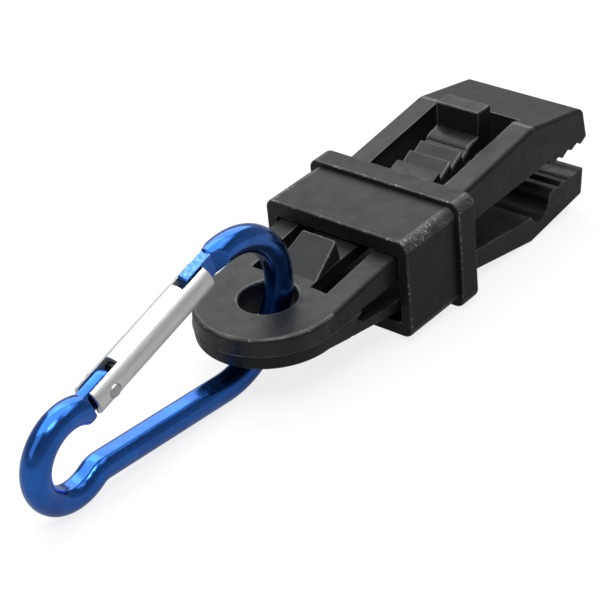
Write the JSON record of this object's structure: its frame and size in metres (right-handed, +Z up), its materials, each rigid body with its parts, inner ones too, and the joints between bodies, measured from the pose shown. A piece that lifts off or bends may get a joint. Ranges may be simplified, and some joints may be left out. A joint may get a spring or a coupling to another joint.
{
  "type": "tarp clip",
  "caption": "Jaw clip for tarpaulins with a sliding locking collar, a release tongue and a sprung-gate snap hook through its eye.",
  "frame": {"origin": "middle of the object's footprint, on the table that it lies on", "axes": "+X along the clip to its jaws, +Y across the clip to its far side, +Z up from the table"},
  "size_m": [0.1386, 0.0336, 0.032],
  "materials": {
    "body_plastic": "satin black moulded plastic",
    "collar_plastic": "satin black moulded plastic, slightly glossier than the body",
    "anodised_bar": "glossy blue anodised",
    "bare_aluminium": "satin",
    "rivet_metal": "satin",
    "spring_wire": "drawn wire"
  },
  "bodies": {
    "clip": {"clip_body": "body_plastic"},
    "jaw": {"lower_jaw": "body_plastic"},
    "tongue": {"release_tongue": "body_plastic"},
    "collar": {"slide_collar": "collar_plastic"},
    "hook": {"hook_body": "anodised_bar"},
    "gate": {"gate_tube": "bare_aluminium", "gate_rivet": "rivet_metal", "gate_spring": "spring_wire", "gate_plunger": "rivet_metal"}
  },
  "joints": [
    {"name": "collar_slide", "type": "slide", "parent": "clip", "child": "collar", "axis": [0.9869, 0, 0.1614], "range_m": [-0.0035, 0.0104]},
    {"name": "jaw_flex", "type": "hinge", "parent": "clip", "child": "jaw", "pos_m": [-0.00261, 0, 0.00815], "axis": [0, -1, 0], "range_deg": [-1.6, 4.2]},
    {"name": "tongue_press", "type": "hinge", "parent": "clip", "child": "tongue", "pos_m": [-0.00275, 0, 0.01365], "axis": [0, 1, 0], "range_deg": [0, 5], "stiffness_Nm_per_rad": 0.2, "springref_deg": -2.86},
    {"name": "hook_swing", "type": "hinge", "parent": "clip", "child": "hook", "pos_m": [-0.02055, -0.00097, 0.01644], "axis": [-0.0125, 0.9983, 0.0574], "range_deg": [-25, 90]},
    {"name": "gate_open", "type": "hinge", "parent": "hook", "child": "gate", "pos_m": [-0.05099, -0.0015, 0.01894], "axis": [-0.0125, 0.9983, 0.0574], "range_deg": [0, 25], "stiffness_Nm_per_rad": 0.03, "springref_deg": -17.19}
  ],
  "couplings": [
    {"joint": "jaw_flex", "follows": "collar_slide", "rad_per_m": 6.9813}
  ]
}
